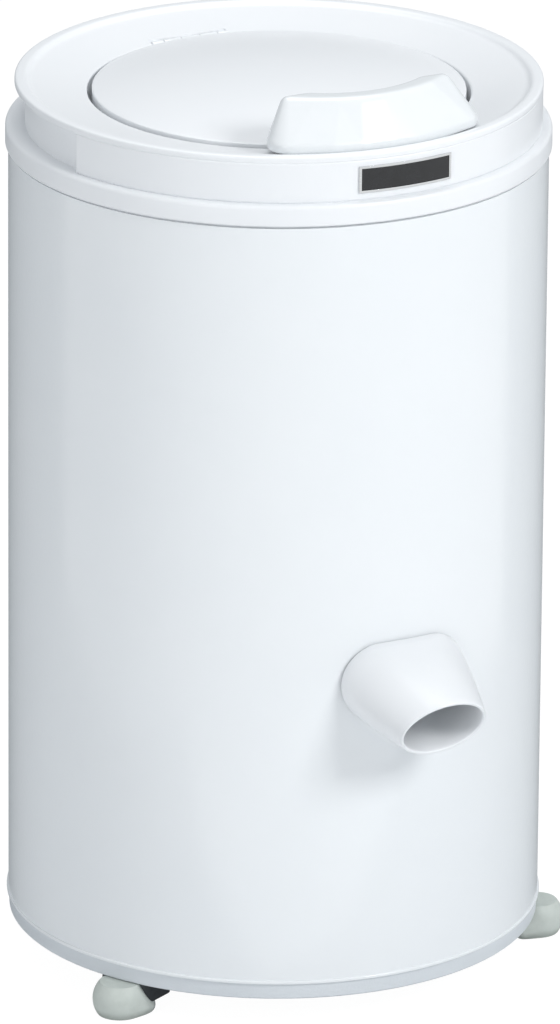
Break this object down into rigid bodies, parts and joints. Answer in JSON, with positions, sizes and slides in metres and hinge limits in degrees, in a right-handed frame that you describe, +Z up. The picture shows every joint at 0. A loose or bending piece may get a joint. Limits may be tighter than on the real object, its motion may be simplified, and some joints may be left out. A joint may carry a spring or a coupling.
{
  "type": "laundry spin dryer",
  "caption": "Upright laundry spin dryer: cylindrical casing on rubber feet, hinged round lid with raised handle, oval drain spout, perforated drum on a motor with brake.",
  "frame": {"origin": "on the drum's axis, at the level of the floor on which the feet stand", "axes": "+Z up along the drum's axis; -Y is the front, with the spout, the handle and the plate; +X is the right side seen from the front"},
  "size_m": [0.3436, 0.4193, 0.606],
  "materials": {
    "white_enamel": "gloss",
    "white_moulding": "satin",
    "white_gloss": "gloss",
    "pale_moulding": "satin",
    "pale_rubber": "matt",
    "black_moulding": "satin",
    "bright_trim": "polished",
    "black_plate": "satin",
    "stainless": "brushed",
    "black_rubber": "matt",
    "grey_rubber": "matt",
    "zinc_steel": "satin",
    "cast_aluminium": "as cast",
    "can_aluminium": "satin",
    "laminations": "oiled",
    "copper": "lacquered",
    "bright_steel": "ground",
    "cream_moulding": "satin",
    "red_moulding": "satin",
    "grey_moulding": "satin",
    "friction_lining": "matt"
  },
  "bodies": {
    "casing": {"body_shell": "white_enamel", "base_tray": "white_moulding", "base_screws": "zinc_steel", "foot_bracket_left": "black_moulding", "foot_bracket_right": "black_moulding", "foot_bracket_rear": "black_moulding", "foot_left": "pale_rubber", "foot_right": "pale_rubber", "foot_rear": "pale_rubber", "foot_screws": "zinc_steel", "top_collar": "white_moulding", "collar_screws": "zinc_steel", "plate_border": "bright_trim", "name_plate": "black_plate", "spout": "white_moulding", "spout_gasket": "black_rubber", "outer_tub": "pale_moulding", "tub_seal": "black_rubber", "shaft_seal": "black_rubber", "rubber_buffers": "black_rubber", "motor_plate": "zinc_steel", "upper_shield": "cast_aluminium", "lower_shield": "cast_aluminium", "stator_core": "laminations", "stator_winding": "copper", "bearing_upper": "bright_steel", "bearing_lower": "bright_steel", "motor_bolts": "zinc_steel", "brake_bracket": "zinc_steel", "brake_pin": "zinc_steel", "capacitor": "can_aluminium", "capacitor_clip": "zinc_steel", "terminal_block": "cream_moulding", "cable_gland": "black_moulding", "lid_switch": "black_moulding", "rocker_bracket": "zinc_steel", "rocker_pin": "zinc_steel", "hinge_pin": "zinc_steel", "latch_strike": "zinc_steel", "brake_spring": "zinc_steel"},
    "rotor": {"drum": "stainless", "drum_floor": "stainless", "drum_rim": "stainless", "drum_hub": "cast_aluminium", "drum_nut": "stainless", "motor_shaft": "bright_steel", "rotor_core": "laminations", "brake_disc": "bright_steel", "cooling_fan": "black_moulding"},
    "lid": {"lid_panel": "white_moulding", "lid_liner": "pale_moulding", "lid_gasket": "grey_rubber", "handle_pin": "zinc_steel"},
    "handle": {"lid_handle": "white_gloss", "latch_hook": "zinc_steel"},
    "rocker": {"latch_rocker": "grey_moulding"},
    "rod": {"brake_rod": "zinc_steel"},
    "lever": {"brake_lever": "zinc_steel", "brake_pad": "friction_lining"},
    "button": {"switch_button": "red_moulding"}
  },
  "joints": [
    {"name": "drum_spin", "type": "hinge", "parent": "casing", "child": "rotor", "pos_m": [0, 0, 0.262], "axis": [0, 0, 1], "continuous": true},
    {"name": "lid_hinge", "type": "hinge", "parent": "casing", "child": "lid", "pos_m": [0, 0.119, 0.567], "axis": [-1, 0, 0], "range_deg": [0, 100]},
    {"name": "handle_lift", "type": "hinge", "parent": "lid", "child": "handle", "pos_m": [0, -0.108, 0.579], "axis": [-1, 0, 0], "range_deg": [0, 12], "stiffness_Nm_per_rad": 0.5, "springref_deg": -8.59},
    {"name": "rocker_tilt", "type": "hinge", "parent": "casing", "child": "rocker", "pos_m": [0.04573, -0.14076, 0.539], "axis": [0.9511, 0.309, 0], "range_deg": [0, 14.25]},
    {"name": "rod_slide", "type": "slide", "parent": "casing", "child": "rod", "axis": [0, 0, -1], "range_m": [0, 0.003]},
    {"name": "lever_tilt", "type": "hinge", "parent": "casing", "child": "lever", "pos_m": [0.0241, -0.07418, 0.173], "axis": [0.9511, 0.309, 0], "range_deg": [0, 2.1]},
    {"name": "button_slide", "type": "slide", "parent": "casing", "child": "button", "axis": [0, 0, -1], "range_m": [0, 0.003]}
  ],
  "couplings": [
    {"joint": "rocker_tilt", "follows": "handle_lift", "ratio": 1.1863},
    {"joint": "rod_slide", "follows": "handle_lift", "m_per_rad": 0.014323},
    {"joint": "lever_tilt", "follows": "handle_lift", "ratio": 0.17429},
    {"joint": "button_slide", "follows": "handle_lift", "m_per_rad": 0.014323}
  ]
}
